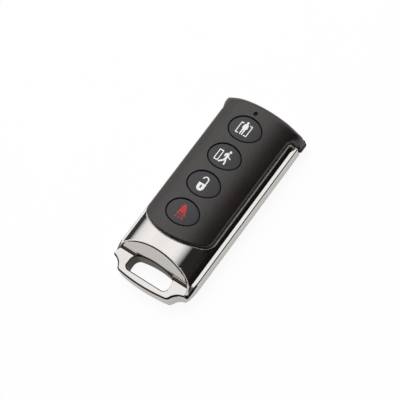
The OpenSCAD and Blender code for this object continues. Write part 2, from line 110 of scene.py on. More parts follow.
def traceLoop(field, start, spacing, stride=0.2, fewest=12, most=4000):
    # walks anticlockwise round the zero line of a field, then spaces the points evenly
    p = settle(field, np.array([start], float))
    stops = [p[0]]
    while len(stops) < most:
        n = outward(field, p)
        half = p + 0.5 * stride * np.stack([-n[:, 1], n[:, 0]], 1)
        n = outward(field, half)
        p = settle(field, p + stride * np.stack([-n[:, 1], n[:, 0]], 1), 3)
        if len(stops) > fewest and np.hypot(*(p[0] - stops[0])) < 0.8 * stride:  # back at the start
            break
        stops.append(p[0])
    ring = np.array(stops + [stops[0]])
    run = runAlong(ring)
    at = np.linspace(0, run[-1], int(run[-1] / spacing), endpoint=False)
    ring = settle(field, pointsAt(ring, run, at))
    return ring, outward(field, ring)


def ovalLoop(centre, a, b, count):
    t = np.linspace(0, 2 * np.pi, count, endpoint=False)
    ring = np.stack([centre[0] + a * np.cos(t), centre[1] + b * np.sin(t)], 1)
    return ring, unitRows(np.stack([np.cos(t) / a, np.sin(t) / b], 1))


def asHole(loop):
    # a hole runs the other way round and its material lies outside it
    return loop[0][::-1], -loop[1][::-1]


def newPiece():
    return {"points": [], "normals": [], "faces": [], "finish": []}


def addPoints(piece, points, normals):
    base = len(piece["points"])
    piece["points"].extend(map(tuple, points))
    piece["normals"].extend(map(tuple, normals))
    return np.arange(base, base + len(points))


def addFaces(piece, faces, finish):
    piece["faces"].extend(faces)
    piece["finish"].extend([finish] * len(faces) if np.isscalar(finish) else finish)


def bandFaces(a, b):
    # quads between two closed rows of points
    return [tuple(f) for f in np.stack([a, b, np.roll(b, -1), np.roll(a, -1)], 1).tolist()]


def addStrip(piece, rows, finish=0, firstNormals=None, lastNormals=None):
    # closed rows of points, joined one below the other
    grid = np.stack(rows)
    along = np.roll(grid, -1, axis=1) - np.roll(grid, 1, axis=1)
    across = np.gradient(grid, axis=0)
    normals = np.cross(across, along)
    normals /= np.maximum(np.linalg.norm(normals, axis=2), 1e-12)[:, :, None]
    if firstNormals is not None:
        normals[0] = firstNormals
    if lastNormals is not None:
        normals[-1] = lastNormals
    index = [addPoints(piece, grid[i], normals[i]) for i in range(len(grid))]
    finishes = [finish] * (len(index) - 1) if np.isscalar(finish) else finish
    for a, b, rowFinish in zip(index[:-1], index[1:], finishes):
        addFaces(piece, bandFaces(a, b), rowFinish)
    return index[0], index[-1]


def surfaceNormals(height, x, y):
    gx, gy = fieldSlope(height, x, y, 1e-3)
    return unitRows(np.stack([-gx, -gy, np.ones_like(gx)], 1))


def rowNormals(height, row):
    return surfaceNormals(height, row[:, 0], row[:, 1])


def closedEdges(loops):
    edges, base = [], 0
    for loop in loops:
        ids = np.arange(base, base + len(loop))
        edges += list(zip(ids.tolist(), np.roll(ids, -1).tolist()))
        base += len(loop)
    return edges


def triangulate(flat, edges, nearby):
    spots, _, tris, came, _, _ = delaunay_2d_cdt([Vector(p) for p in flat], edges, [], 0, nearby)
    return np.array([(s.x, s.y) for s in spots]), np.array([t for t in tris if len(t) == 3]), came


def insideLoop(px, py, loop):
    inside = np.zeros(len(px), bool)
    for (x0, y0), (x1, y1) in zip(loop, np.roll(loop, -1, axis=0)):
        if y0 != y1:
            inside ^= ((y0 > py) != (y1 > py)) & (px < (x1 - x0) * (py - y0) / (y1 - y0) + x0)
    return inside


def insideOnly(p, outlines, holes):
    keep = np.zeros(len(p), bool)
    for loop in outlines:
        keep |= insideLoop(p[:, 0], p[:, 1], loop)
    for loop in holes:
        keep &= ~insideLoop(p[:, 0], p[:, 1], loop)
    return keep


def addPatch(piece, borders, inner, height, finishAt=None, down=False):
    # fills the area between border rows (outer first, then holes) with points on a height
    side = -1 if down else 1
    corners = [np.array([piece["points"][i][:2] for i in b]) for b in borders]
    innerPoints = np.column_stack([inner, height(*inner.T)])
    innerIndex = addPoints(piece, innerPoints, side * rowNormals(height, inner))
    index = np.concatenate(list(borders) + [innerIndex])
    spots, tris, came = triangulate(np.concatenate(corners + [inner]), closedEdges(corners), 1e-7)
    place = []
    for spot, source in zip(spots, came):
        if source:
            place.append(int(index[source[0]]))
        else:
            at = spot[None]
            added = np.column_stack([at, height(*at.T)])
            place.append(int(addPoints(piece, added, side * rowNormals(height, at))[0]))
    middle = spots[tris].mean(axis=1)
    keep = insideOnly(middle, corners[:1], corners[1:])
    tris, middle = tris[keep], middle[keep]
    finish = finishAt(*middle.T).astype(int).tolist() if finishAt else 0
    order = (0, 2, 1) if down else (0, 1, 2)
    addFaces(piece, [tuple(place[t[k]] for k in order) for t in tris.tolist()], finish)


def roundedRows(loop, height, radius, steps=7):
    # rows of a rounded edge, from the face above to the wall below
    ring, n = loop
    rows = []
    for turn in np.linspace(0, quarterTurn, steps):
        p = ring - n * radius * (1 - math.sin(turn))
        rows.append(np.column_stack([p, height(*p.T) - radius * (1 - math.cos(turn))]))
    return rows


def levelRow(ring, z):
    return np.column_stack([ring, np.broadcast_to(z, len(ring))])


def footRows(loop, radius, steps=5):
    # rows of a rounded edge at the foot of a wall, on z = 0
    ring, n = loop
    return [levelRow(ring - n * radius * (1 - math.cos(turn)), radius * (1 - math.sin(turn)))
            for turn in np.linspace(0, quarterTurn, steps)]


def thicken(piece, wall, rims):
    # closes an open shell with an inner skin, joined along its rims
    points, normals = np.array(piece["points"]), np.array(piece["normals"])
    count = len(points)
    faces, finish = list(piece["faces"]), list(piece["finish"])
    addPoints(piece, points - wall * normals, -normals)
    addFaces(piece, [tuple(i + count for i in reversed(f)) for f in faces], finish)
    for rim in rims:
        addFaces(piece, bandFaces(rim, rim + count), 0)


def shiftAlong(piece, y0):
    piece["points"] = [(x, y + y0, z) for x, y, z in piece["points"]]


def finishPiece(name, piece, finishes, body, stands=()):
    mesh = bpy.data.meshes.new(name)
    mesh.from_pydata([(x * mm, y * mm, z * mm) for x, y, z in piece["points"]], [], piece["faces"])
    for finish in finishes:
        mesh.materials.append(finish)
    mesh.polygons.foreach_set("material_index", piece["finish"])
    mesh.shade_smooth()
    mesh.normals_split_custom_set_from_vertices(piece["normals"])
    obj = bpy.data.objects.new(name, mesh)
    scene.collection.objects.link(obj)
    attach(obj, body)
    if stands:
        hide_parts(*stands)


# finishes: fine grain for colour or bump, broad patches for roughness
grainLook = {"fineDetail": 3.0, "fineRough": 0.6,
             "mouldedScale": 90, "mouldedDetail": 3.0, "mouldedRough": 0.55, "mouldedSpan": (0.3, 0.7),
             "metalScale": 120, "metalDetail": 4.0, "metalRough": 0.6, "metalSpan": (0.3, 0.75)}


def newFinish(name):
    finish = bpy.data.materials.new(name)
    finish.use_nodes = True
    tree = finish.node_tree
    return finish, tree, tree.nodes["Principled BSDF"]


def noiseOf(tree, scale, detail, rough=0.5):
    coord = tree.nodes.new("ShaderNodeTexCoord")
    noise = tree.nodes.new("ShaderNodeTexNoise")
    noise.inputs["Scale"].default_value = scale
    noise.inputs["Detail"].default_value = detail
    noise.inputs["Roughness"].default_value = rough
    tree.links.new(coord.outputs["Object"], noise.inputs["Vector"])
    return noise.outputs["Fac"]


def rangeOf(tree, value, low, high, toLow, toHigh):
    node = tree.nodes.new("ShaderNodeMapRange")
    for name, number in zip(("From Min", "From Max", "To Min", "To Max"), (low, high, toLow, toHigh)):
        node.inputs[name].default_value = number
    tree.links.new(value, node.inputs["Value"])
    return node.outputs["Result"]


def toneOf(tree, value, low, high, dark, light):
    ramp = tree.nodes.new("ShaderNodeValToRGB")
    ramp.color_ramp.elements[0].position = low
    ramp.color_ramp.elements[1].position = high
    ramp.color_ramp.elements[0].color = (*dark, 1)
    ramp.color_ramp.elements[1].color = (*light, 1)
    tree.links.new(value, ramp.inputs["Fac"])
    return ramp.outputs["Color"]


def grainBump(tree, bsdf, value, strength, depth):
    bump = tree.nodes.new("ShaderNodeBump")
    bump.inputs["Strength"].default_value = strength
    bump.inputs["Distance"].default_value = depth
    tree.links.new(value, bump.inputs["Height"])
    tree.links.new(bump.outputs["Normal"], bsdf.inputs["Normal"])


def mouldedFinish(name, dark, light, rough, grain=2500, bump=0.15, depth=0.00003, specular=0.5):
    finish, tree, bsdf = newFinish(name)
    fine = noiseOf(tree, grain, grainLook["fineDetail"], grainLook["fineRough"])
    broad = noiseOf(tree, grainLook["mouldedScale"], grainLook["mouldedDetail"], grainLook["mouldedRough"])
    span = grainLook["mouldedSpan"]
    tree.links.new(toneOf(tree, fine, *span, dark, light), bsdf.inputs["Base Color"])
    tree.links.new(rangeOf(tree, broad, *span, *rough), bsdf.inputs["Roughness"])
    bsdf.inputs["Specular IOR Level"].default_value = specular
    grainBump(tree, bsdf, fine, bump, depth)
    return finish


def metalFinish(name, dark, light, rough, grain=700, bump=0.03, depth=0.00001):
    finish, tree, bsdf = newFinish(name)
    fine = noiseOf(tree, grain, grainLook["fineDetail"], grainLook["fineRough"])
    broad = noiseOf(tree, grainLook["metalScale"], grainLook["metalDetail"], grainLook["metalRough"])
    span = grainLook["metalSpan"]
    bsdf.inputs["Metallic"].default_value = 1.0
    tree.links.new(toneOf(tree, broad, *span, dark, light), bsdf.inputs["Base Color"])
    tree.links.new(rangeOf(tree, broad, *span, *rough), bsdf.inputs["Roughness"])
    grainBump(tree, bsdf, fine, bump, depth)
    return finish


# seen from outside
softTouchCover = mouldedFinish("softTouchCover", (0.0152, 0.0109, 0.0096), (0.0245, 0.0178, 0.0158), (0.27, 0.34),
                               grain=2400, bump=0.6, depth=0.00009, specular=0.92)
keyRubber = mouldedFinish("keyRubber", (0.039, 0.039, 0.0422), (0.052, 0.052, 0.0563), (0.45, 0.55),
                          grain=3400, bump=0.2, depth=0.00004, specular=0.45)
backShell = mouldedFinish("backShell", (0.010, 0.0097, 0.0095), (0.018, 0.0175, 0.017), (0.5, 0.62),
                          grain=1800, bump=0.5, depth=0.00008, specular=0.5)
platedChrome = metalFinish("platedChrome", (0.90, 0.868, 0.838), (0.95, 0.918, 0.888), (0.03, 0.06))
# painted highlight: a pale line that stands in for the bright reflection along the chrome lip and the facet's
# crest
lipPaintedHighlight = mouldedFinish("lipPaintedHighlight", (0.82, 0.785, 0.74), (0.9, 0.865, 0.82), (0.25, 0.35),
                          grain=900, bump=0.05, depth=0.00001, specular=0.6)
# black on the steep flanks; on the deck's outer edge, round the loop's rim and in the slot's edge it is painted
# shade standing in for dark reflections
flankBlackAndPaintedShade = mouldedFinish("flankBlackAndPaintedShade", (0.026, 0.0225, 0.0208), (0.037, 0.032, 0.0298), (0.5, 0.6),
                           grain=900, bump=0.04, depth=0.00001, specular=0.05)
# painted shade: dark plating that stands in for the shade inside the slot
slotShade = metalFinish("slotShade", (0.055, 0.048, 0.040), (0.12, 0.106, 0.090), (0.25, 0.4))
# satin plating on the facet, its tone darker than the plating as painted shade for a dimmer reflection
facetSatinAndShade = metalFinish("facetSatinAndShade", (0.76, 0.725, 0.69), (0.81, 0.775, 0.74), (0.07, 0.12))
# painted reflection: a brown that stands in for the warm dark the chrome step's face reflects
stepPaintedReflection = mouldedFinish("stepPaintedReflection", (0.115, 0.083, 0.068), (0.15, 0.11, 0.092), (0.4, 0.5),
                          grain=900, bump=0.04, depth=0.00001, specular=0.3)
keyInkWhite = mouldedFinish("keyInkWhite", (0.90, 0.90, 0.89), (0.95, 0.95, 0.94), (0.5, 0.6),
                            grain=3000, bump=0.1)
keyInkRed = mouldedFinish("keyInkRed", (0.48, 0.028, 0.028), (0.58, 0.036, 0.036), (0.5, 0.6),
                          grain=3000, bump=0.1)
smokedPipe = mouldedFinish("smokedPipe", (0.003, 0.003, 0.003), (0.006, 0.005, 0.005), (0.3, 0.4),
                           grain=900, specular=0.15)
screwSteel = metalFinish("screwSteel", (0.42, 0.42, 0.41), (0.55, 0.55, 0.54), (0.28, 0.42))

# hidden inside
greyMat = mouldedFinish("greyMat", (0.14, 0.14, 0.145), (0.18, 0.18, 0.185), (0.6, 0.75))
greenBoard = mouldedFinish("greenBoard", (0.015, 0.10, 0.045), (0.022, 0.135, 0.06), (0.35, 0.5), grain=1200)
switchBlack = mouldedFinish("switchBlack", (0.012, 0.012, 0.013), (0.02, 0.02, 0.021), (0.4, 0.55))
plungerTan = mouldedFinish("plungerTan", (0.42, 0.33, 0.19), (0.5, 0.4, 0.25), (0.4, 0.55))
lightBody = mouldedFinish("lightBody", (0.72, 0.69, 0.6), (0.82, 0.79, 0.7), (0.3, 0.4))
chipResin = mouldedFinish("chipResin", (0.014, 0.014, 0.015), (0.022, 0.022, 0.024), (0.45, 0.6))
partCeramic = mouldedFinish("partCeramic", (0.24, 0.18, 0.11), (0.32, 0.25, 0.16), (0.45, 0.6))
crystalMetal = metalFinish("crystalMetal", (0.6, 0.6, 0.61), (0.7, 0.7, 0.71), (0.25, 0.4))
loopCopper = metalFinish("loopCopper", (0.62, 0.33, 0.16), (0.75, 0.43, 0.24), (0.25, 0.4))
cellSteel = metalFinish("cellSteel", (0.62, 0.62, 0.62), (0.74, 0.74, 0.74), (0.2, 0.35))
springBrass = metalFinish("springBrass", (0.66, 0.6, 0.42), (0.78, 0.71, 0.52), (0.22, 0.35))
print("finishes:", len(bpy.data.materials))


# cover: one crown arc, rolled over at the top end, with four windows and the light's hole
cover = {"crownTop": 13.1, "crownRadius": 23.9, "halfWidth": 13.3, "capFrom": 31.5, "endRadius": 300.0,
         "shoulder": 7.0, "shoulderAt": (8.9, 3.567), "shoulderFrom": 12.586,
         "lowRadius": 23.2, "lowEnd": -17.9, "lowCorner": 1.5, "endCorner": 0.7, "capCorner": 0.3,
         "capFillet": 2.4, "endRoll": 2.2, "rollMost": 0.95, "edge": 0.38, "stripFoot": 4.2, "capFoot": 2.8,
         "softCorner": 1.6, "softCornerSide": (9.0, 14.0), "softFoot": 1.3, "softFootSide": (13.7, 15.4),
         "softMost": 0.97, "wall": 0.25, "wallShares": (0.3, 0.65, 1.0), "spacing": 0.3,
         "windowEdge": 0.18, "windowPoints": 112, "collar": 0.6, "collarRows": 2, "holeRows": 6,
         "lightHole": 0.7, "lightAt": 31.7, "lightEdge": 0.14, "lightPoints": 40,
         "gridX": (-15.75, 15.8, 0.45), "gridY": (-17.5, 33.6, 0.45), "endGridY": (33.8, 35.3, 0.12),
         "edgeClear": 0.15, "holeClear": 0.2}
keys = {"places": (25.4, 13.9, 2.4, -9.1), "names": ("stay", "away", "unlock", "panic"), "window": (6.3, 4.6),
        "gap": 0.28, "recess": 0.2, "edge": 0.3, "foot": 10.3834, "flange": (7.0, 5.3), "flangeFoot": 9.7834,
        "stem": (1.5, 1.5), "stemFoot": 9.2134, "around": 120, "topShares": (0.06, 1, 12)}


def endField(x, y):
    return np.hypot(x, y - fob["topEnd"] + cover["endRadius"]) - cover["endRadius"]


def coverPlan(x, y):
    side = np.abs(x)
    lowCentre = cover["lowEnd"] + cover["lowRadius"]
    low = np.where(y < lowCentre, np.hypot(x, y - lowCentre), side) - cover["lowRadius"]
    strip = roundMax(side - cover["halfWidth"], low, cover["lowCorner"])
    band = roundMax(side - fob["halfWidth"], cover["capFrom"] - y, cover["capCorner"])
    whole = roundMax(side - fob["halfWidth"], endField(x, y), cover["endCorner"])
    return np.maximum(roundMin(strip, band, cover["capFillet"]), whole)


def drawnIn(depth, r):
    # how far a corner of radius r has drawn in, depth measured from where it starts
    return r - np.sqrt(r * r - np.clip(depth, 0, cover["softMost"] * r) ** 2)


def crownHeight(x, y, sunk=0.0):
    # the end rolls over about the crown's own axis, and the cap's corners draw in towards their top
    toEnd = endField(x, y)
    toFoot = cover["softFoot"] - (y - cover["capFrom"])
    side = np.abs(x)
    cornerShare = easeStep(side, *cover["softCornerSide"])
    side = side + drawnIn(toEnd + cover["softCorner"], cover["softCorner"]) * cornerShare
    side = side + drawnIn(toFoot, cover["softFoot"]) * easeStep(side, *cover["softFootSide"])
    roll = cover["endRoll"]
    over = np.clip(toEnd + roll, 0, cover["rollMost"] * roll)
    radius = cover["crownRadius"] - sunk - roll + np.sqrt(roll * roll - over * over)
    crown = cover["crownTop"] - cover["crownRadius"] + np.sqrt(np.maximum(radius * radius - side * side, 1))
    sx, sz = cover["shoulderAt"]
    shoulder = sz + np.sqrt(np.maximum(cover["shoulder"] ** 2 - np.maximum(side - sx, 0) ** 2, 0.01))
    return np.where(side > cover["shoulderFrom"], np.minimum(crown, shoulder), crown)


def buildCover():
    piece = newPiece()
    outline = traceLoop(coverPlan, (cover["halfWidth"], 0), cover["spacing"])
    ring = outline[0]
    rows = roundedRows(outline, crownHeight, cover["edge"])
    high = rows[-1][:, 2]
    onCap = ring[:, 1] > cover["capFrom"] - 0.02  # a hair's room for the traced points
    foot = np.where(onCap, cover["capFoot"], cover["stripFoot"])
    rows += [levelRow(ring, high + share * (foot - high)) for share in cover["wallShares"]]
    first, last = addStrip(piece, rows, firstNormals=rowNormals(crownHeight, rows[0]))
    borders, rims = [first], [last]
    holes = [(0, y, *keys["window"], cover["windowEdge"], cover["windowPoints"]) for y in keys["places"]]
    holes.append((0, cover["lightAt"], cover["lightHole"], cover["lightHole"], cover["lightEdge"],
                  cover["lightPoints"]))
    for x, y, a, b, edge, count in holes:
        loop = asHole(ovalLoop((x, y), a, b, count))
        rows = roundedRows(loop, crownHeight, edge, cover["holeRows"])
        for _ in range(cover["collarRows"]):
            rows.append(rows[-1] - np.array([0, 0, cover["collar"]]))
        first, last = addStrip(piece, rows, firstNormals=rowNormals(crownHeight, rows[0]))
        borders.append(first)
        rims.append(last)
    gridY = np.concatenate([np.arange(*cover["gridY"]), np.arange(*cover["endGridY"])])
    inner = gridOf(np.arange(*cover["gridX"]), gridY)
    gx, gy = inner.T
    keep = coverPlan(gx, gy) < -cover["edge"] - cover["edgeClear"]
    for x, y, a, b, edge, _ in holes:
        away = edge + cover["holeClear"]
        keep &= np.hypot((gx - x) / (a + away), (gy - y) / (b + away)) > 1
    addPatch(piece, borders, inner[keep], crownHeight)
    thicken(piece, cover["wall"], rims)
    print("cover:", len(piece["points"]), "points")
    finishPiece("domedCover", piece, [softTouchCover], "case", ["top_cover"])


buildCover()


# plated frame: side walls, ledges, flanks and deck, the facet and step down to the loop
plated = {"deckTop": 11.4, "deckRadius": 23.66, "flankTop": (13.6, 7.1), "flankFoot": (14.35, 4.7),
          "flankBlend": 0.25, "ledgeBlend": 0.06, "ledgeTilt": 0.085,
          "topEnd": 31.3, "topCorner": 1.1, "taperFrom": -25.5, "taperRadius": 20.0,
          "rampFrom": -26.2, "rampFall": 0.306, "rampBlend": 0.6,
          "flareFrom": -27.0, "flareTo": -30.5, "flare": 0.45,
          "barRadius": 67.0, "notchRadius": 4.7, "notchAt": (15.2, -35.8), "tip": 0.9,
          "slotHalf": 8.6, "slotLow": -32.9, "slotHigh": -26.75, "slotArc": 32.0, "slotCorner": 1.8,
          "facetFoot": (-27.15, 6.0), "facetSlope": 1.505,
          "stepFrom": (7.3, 7.8), "stepFoot": -28.0, "stepBlend": 0.12, "footBlend": 0.2,
          "scoopHalf": 14.65, "scoopCorner": 6.2, "scoopTop": -24.8, "scoopThroat": 9.8, "scoopWall": 2.5,
          "crest": 0.5, "rimCrest": 0.22, "crestTurn": (-28.6, -26.4),
          "gap": 0.09, "openCorner": 0.2, "openFoot": 4.2, "openReach": 1.0,
          "lipEdge": 0.1, "lipHalf": 0.18, "lipRise": 0.13, "lipPower": 0.75,
          "railEdge": 0.5, "loopEdge": 0.75, "edgeTurn": (-24.0, -27.0), "slotEdge": 0.35, "footEdge": 0.25,
          "loopFootFrom": -23.74, "loopFootStep": 0.06, "loopFootSide": (14.2, 15.0),
          # where the finishes change; the black band's part on the deck is painted shade
          "darkBandFrom": 12.2, "darkBandShort": 0.001, "rimBand": 0.44, "crestLine": (0.2, 0.44), "crestSide": 14.0,
          "facetEdge": -0.3, "facetEnd": -27.6, "stepTop": -27.2, "stepShadow": -27.75, "stepEdge": -0.2,
          "rimLineFrom": -25.4, "rimLineTurn": 0.55, "rimLineRows": (3, 4), "rimLineEndRows": (1, 2, 3, 4, 5),
          "slotBrightRows": 3, "slotBlackRows": 5, "slotBarSide": 0.2,
          # rows and grids of points
          "spacing": 0.2, "slotSpacing": 0.1, "slotStart": -30, "edgeRows": 8, "edgePasses": 12,
          "wallShares": (0.33, 0.67), "edgeClear": 0.06,
          "lipRows": (0.13, 0.16, 0.19, 0.22, 0.25, 0.29, 0.33, 0.36, 0.45), "lipClear": 0.54,
          "crestX": (-14.2, 14.21, 0.1), "crestY": (-30.5, -22.5, 0.05), "crestSpacing": 0.11,
          "crestLineSide": 0.08, "crestLineRoom": (0.07, 0.57), "crestNear": 0.75, "crestClear": 0.85,
          "fineX": (-15.3, 15.31, 0.11), "fineY": (-31.6, -22.4, 0.11),
          "broadX": (-15.2, 15.21, 0.38), "broadY": (-35.3, -3.0, 0.38),
          "stepX": (7.7, 14.6, 0.15), "stepNear": (8.0, -28.5, -26.9), "stepClear": (7.9, -28.6, -26.8),
          "footNear": (0.3, -25.6), "footClear": (0.4, -25.4), "flankMiddle": 13.95, "flankClear": 0.85,
          "darkBandClear": 0.25, "darkBandRows": (-0.12, 0, 0.12), "flankTopRows": (-0.4, 0.41, 0.08),
          "flankFootRows": (-0.24, 0.33, 0.08), "flankY": (-25.3, -3.0, 0.38),
          "railFootRows": (-0.32, 0.33, 0.08), "railRows": (14.9, 15.2),
          "railY": (-2.8, 28, 0.8), "railEndY": (28, 31.2, 0.3),
          "seamX": (-14.8, 14.81, 0.2), "seamDrops": (0, 0.07)}
# the pale line is painted highlight; the black band is black on the flanks and painted shade elsewhere; the
# slot's finish and the facet's darker tone are painted shade, the step's face painted reflection
plating, blackBandAndPaintedShade, paintedHighlightLine, paintedSlotShade, stepFace, satinFacetAndShade = range(6)  # the frame's finishes, in order


def framePlan(x, y):
    side = np.abs(x)
    drawn = np.hypot(side - fob["halfWidth"] + plated["taperRadius"], y - plated["taperFrom"])
    drawn = drawn - plated["taperRadius"]
    wall = np.where(y < plated["taperFrom"], drawn, side - fob["halfWidth"])
    edge = roundMax(wall, y - plated["topEnd"], plated["topCorner"])
    bar = np.hypot(x, y - fob["loopEnd"] - plated["barRadius"]) - plated["barRadius"]
    edge = roundMax(edge, bar, plated["tip"])
    notch = plated["notchRadius"] - np.hypot(side - plated["notchAt"][0], y - plated["notchAt"][1])
    return roundMax(edge, notch, plated["tip"])


def slotPlan(x, y):
    box = roundMax(np.abs(x) - plated["slotHalf"], plated["slotLow"] - y, plated["slotCorner"])
    arch = np.hypot(x, y - plated["slotHigh"] + plated["slotArc"]) - plated["slotArc"]
    return roundMax(box, arch, plated["slotCorner"])


def openPlan(x, y):
    return coverPlan(x, y) - plated["gap"]


def openFramePlan(x, y):
    # frame outline with the cover's opening taken out
    return roundMax(framePlan(x, y), -openPlan(x, y), plated["openCorner"])


def ledgeLevel(y):
    drop = smoothMax(0 * y, plated["rampFrom"] - y, plated["rampBlend"])
    return plated["flankFoot"][1] - plated["rampFall"] * drop


def flankFootAt(y):
    return plated["flankFoot"][0] + plated["flare"] * easeStep(y, plated["flareFrom"], plated["flareTo"])


def flankSlope():
    (xa, za), (xb, zb) = plated["flankTop"], plated["flankFoot"]
    return (za - zb) / (xb - xa)


def flankEnd(y):
    # where the flank meets the falling ledge
    return flankFootAt(y) + (plated["flankFoot"][1] - ledgeLevel(y)) / flankSlope()


def frameProfile(x, y):
    side = np.abs(x)
    deck = plated["deckTop"] - plated["deckRadius"] + np.sqrt(plated["deckRadius"] ** 2 - side * side)
    flank = plated["flankFoot"][1] + (flankFootAt(y) - side) * flankSlope()
    ledge = ledgeLevel(y) - plated["ledgeTilt"] * (side - plated["flankFoot"][0])
    return smoothMax(smoothMin(deck, flank, plated["flankBlend"]), ledge, plated["ledgeBlend"])


def scoopHeight(x, y):
    # the facet falls to the loop's level, with a step only beside the slot
    fy, fz = plated["facetFoot"]
    side = np.abs(x)
    facet = fz + (y - fy) * plated["facetSlope"]
    step = fob["ledge"] + (y - plated["stepFoot"]) * (fz - fob["ledge"]) / (fy - plated["stepFoot"])
    flat = fob["ledge"] + 0 * y
    plain = smoothMax(flat, facet, plated["footBlend"])
    stepped = smoothMax(flat, smoothMax(step, facet, plated["stepBlend"]), plated["footBlend"])
    level = plain + (stepped - plain) * easeStep(side, *plated["stepFrom"])
    shoulders = roundMax(side - plated["scoopHalf"], y - plated["scoopTop"], plated["scoopCorner"])
    wall = np.minimum(shoulders, side - plated["scoopThroat"])
    return level + plated["scoopWall"] * np.maximum(wall, 0)


def bodyHeight(x, y):
    crest = plated["rimCrest"] + (plated["crest"] - plated["rimCrest"]) * easeStep(y, *plated["crestTurn"])
    return smoothMin(frameProfile(x, y), scoopHeight(x, y), crest)


def frameHeight(x, y):
    # a small round lip stands along the cover's opening
    across = (openPlan(x, y) - plated["lipHalf"]) / plated["lipHalf"]
    return bodyHeight(x, y) + plated["lipRise"] * np.maximum(1 - across * across, 0) ** plated["lipPower"]


def loopFoot(x, y):
    # the loop reaches down to the back, the side walls end above it
    sides = easeStep(np.abs(x), *plated["loopFootSide"])
    ahead = easeStep(y, plated["loopFootFrom"] - plated["loopFootStep"], plated["loopFootFrom"])
    return fob["foot"] * np.maximum(sides, ahead)


def frameUnderside(x, y):
    return np.where(openPlan(x, y) < plated["openReach"], plated["openFoot"], loopFoot(x, y))


def outerEdgeAt(y):
    return plated["railEdge"] + (plated["loopEdge"] - plated["railEdge"]) * easeStep(y, *plated["edgeTurn"])


def scoopRise(x, y):
    return scoopHeight(x, y) - frameProfile(x, y)


def rimDistance(x, y):
    # how far the scoop's rim is, positive on the deck's side
    gx, gy = fieldSlope(scoopRise, x, y, 1e-3)
    return scoopRise(x, y) / np.maximum(np.hypot(gx, gy), 0.3)  # 0.3 keeps level places finite


def frameFinishAt(x, y):
    # painted highlight on the lip and crest line, painted shade on the black band's deck part and the facet's
    # darker tone, painted reflection on the step's face
    side = np.abs(x)
    toRim = rimDistance(x, y)
    low, high = plated["crestLine"]
    onLine = openPlan(x, y) < 2 * plated["lipHalf"]
    onLine |= (toRim > low) & (toRim < high) & (side < plated["crestSide"])
    onFlank = (side > plated["darkBandFrom"]) & (side < flankEnd(y) - plated["darkBandShort"])
    onFlank &= toRim > plated["rimBand"]
    besideSlot = side > plated["stepFrom"][1]
    onStep = (y < plated["stepTop"]) & (y > plated["stepShadow"]) & besideSlot & (toRim < plated["stepEdge"])
    onFacet = (toRim < plated["facetEdge"]) & (y > np.where(besideSlot, plated["stepTop"], plated["facetEnd"]))
    return np.select([onLine, onFlank, onStep, onFacet], [paintedHighlightLine, blackBandAndPaintedShade, stepFace, satinFacetAndShade], plating)


def rimShades(outline, count):
    # painted shade: a dark line, standing in for the rim's dark reflection, runs round the loop's rounded rim,
    # wider at its two ends
    ring, n = outline
    onLoop = ring[:, 1] < plated["rimLineFrom"]
    atEnds = onLoop & (np.abs(n[:, 0]) > plated["rimLineTurn"])
    finishes = []
    for row in range(count):
        dark = (onLoop & (row in plated["rimLineRows"])) | (atEnds & (row in plated["rimLineEndRows"]))
        finishes.append(np.where(dark, blackBandAndPaintedShade, plating).tolist())
    return finishes


def slotShades(slot, count):
    # painted shade: the bar's side of the slot is painted dark, the other side only below its bright edge
    atBar = slot[1][:, 1] > plated["slotBarSide"]
    finishes = []
    for row in range(count):
        other = paintedSlotShade
        if row < plated["slotBlackRows"]:
            other = plating if row < plated["slotBrightRows"] else blackBandAndPaintedShade
        finishes.append(np.where(atBar, paintedSlotShade, other).tolist())
    return finishes


def crestRows(distances):
    # rows of points along the scoop's crest, each at its own distance from it
    ys = np.arange(*plated["crestY"])
    seeds = []
    for x in np.arange(*plated["crestX"]):
        rise = rimDistance(np.full(len(ys), x), ys)
        cross = np.nonzero((rise[:-1] < 0) & (rise[1:] >= 0))[0]
        if len(cross):
            seeds.append((x, ys[cross[-1]]))
    seeds = np.array(seeds)
    run = runAlong(seeds)
    seeds = pointsAt(seeds, run, np.arange(0, run[-1], plated["crestSpacing"]))
    return np.concatenate([settle(lambda u, v: rimDistance(u, v) - d, seeds, 6) for d in distances])


def besideStep(side, y, limits):
    inner, low, high = limits
    return (side > inner) & (y < high) & (y > low)


def alongFoot(side, y, limits):
    reach, top = limits
    return (np.abs(side - flankEnd(y)) < reach) & (y < top)


